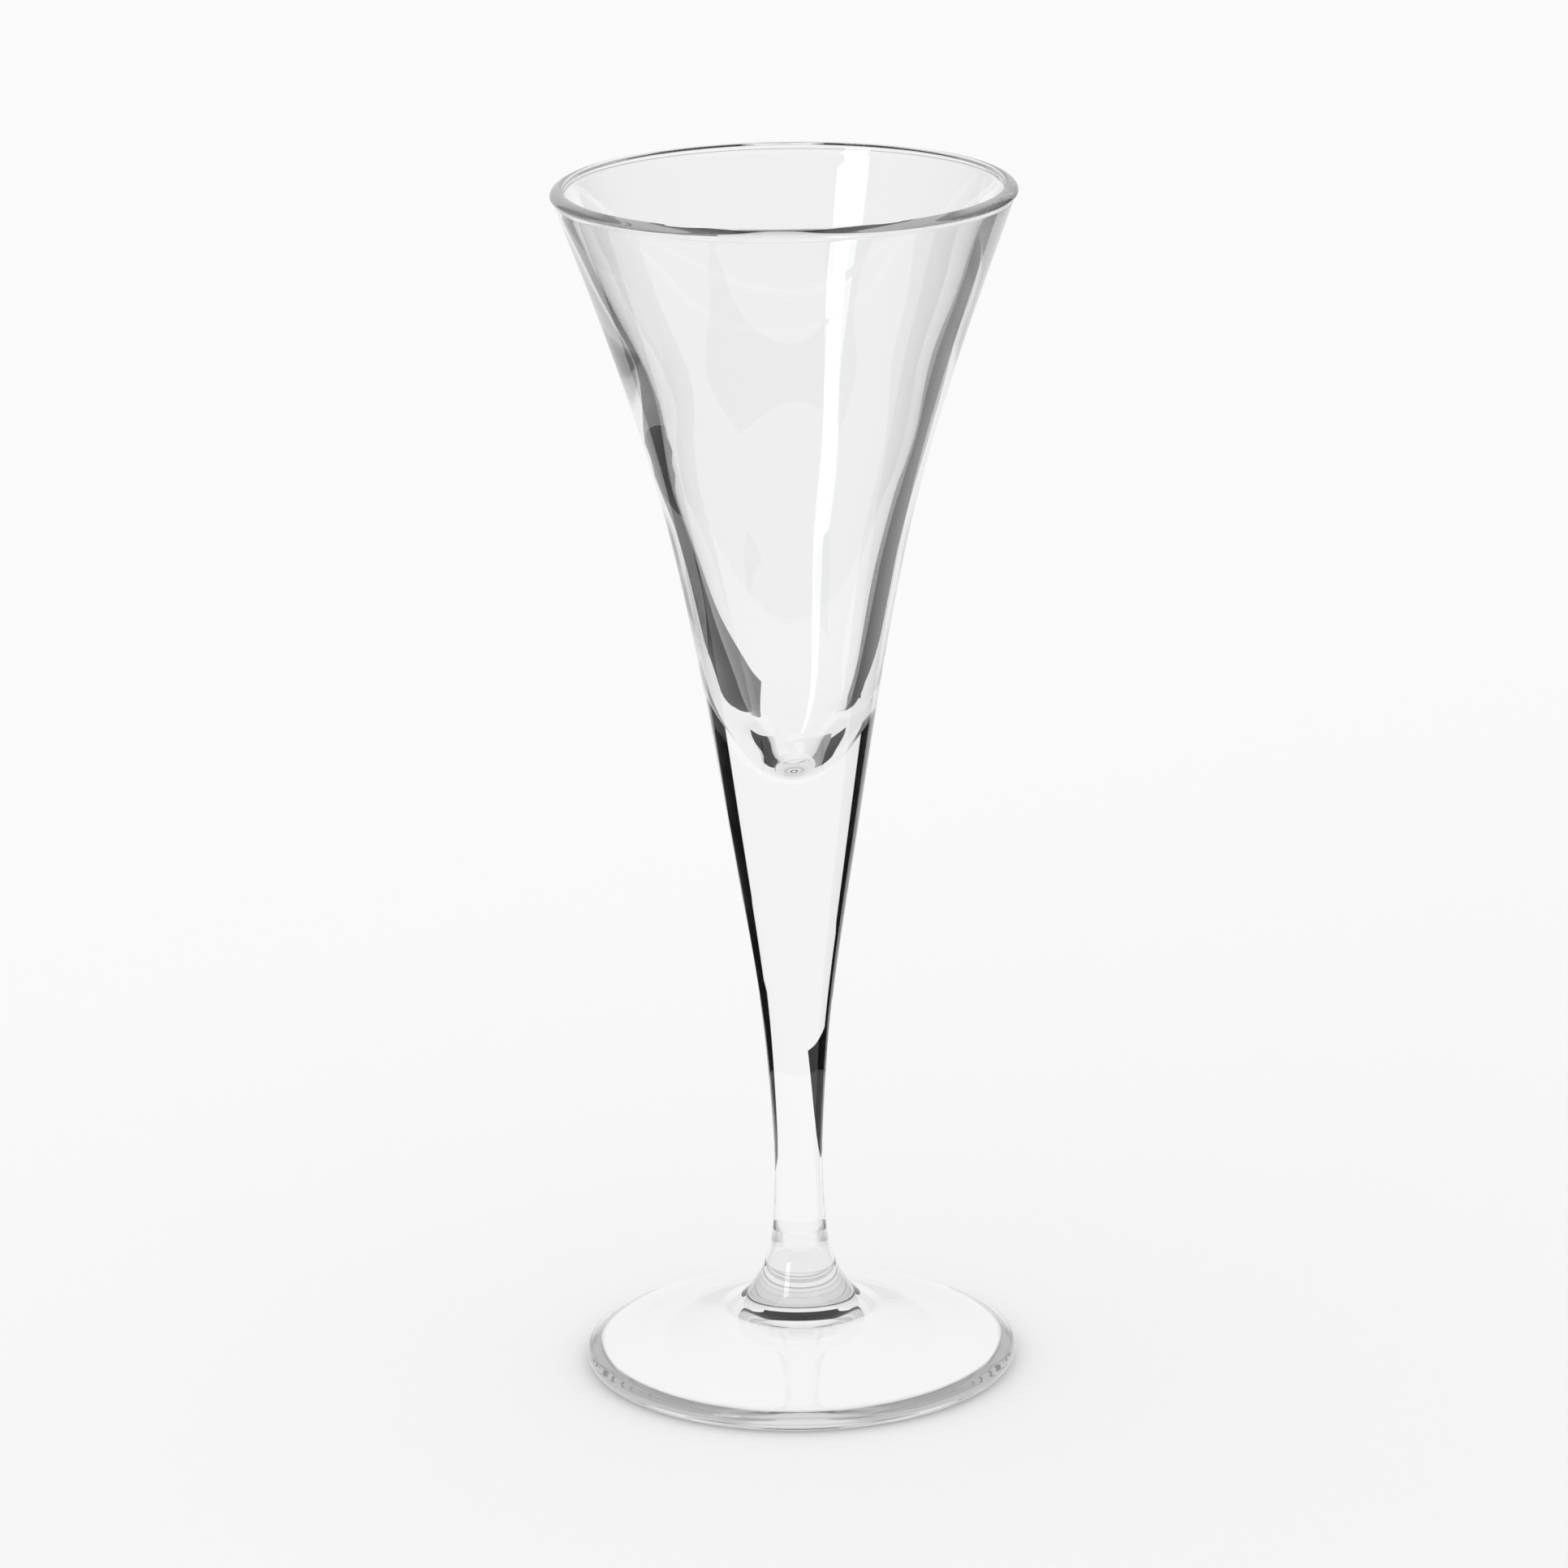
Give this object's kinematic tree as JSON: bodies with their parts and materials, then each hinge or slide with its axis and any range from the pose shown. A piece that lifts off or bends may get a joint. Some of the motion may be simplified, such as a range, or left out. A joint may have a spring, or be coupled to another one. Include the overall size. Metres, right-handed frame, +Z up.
{
  "type": "schnapps glass",
  "caption": "Tall stemmed schnapps glass: a conical bowl with a rounded lip, a solid tapering stem and a domed round foot, fused together.",
  "frame": {"origin": "on the table, under the middle of the foot", "axes": "+Z up along the axis of the glass, from the foot to the rim; X and Y are free, because the glass is turned"},
  "size_m": [0.057, 0.057, 0.152],
  "materials": {
    "clear_glass": "clear, fire-polished soda-lime glass with faint waves from the mould"
  },
  "bodies": {
    "root": {"bowl": "clear_glass", "stem": "clear_glass", "foot": "clear_glass"}
  },
  "joints": []
}
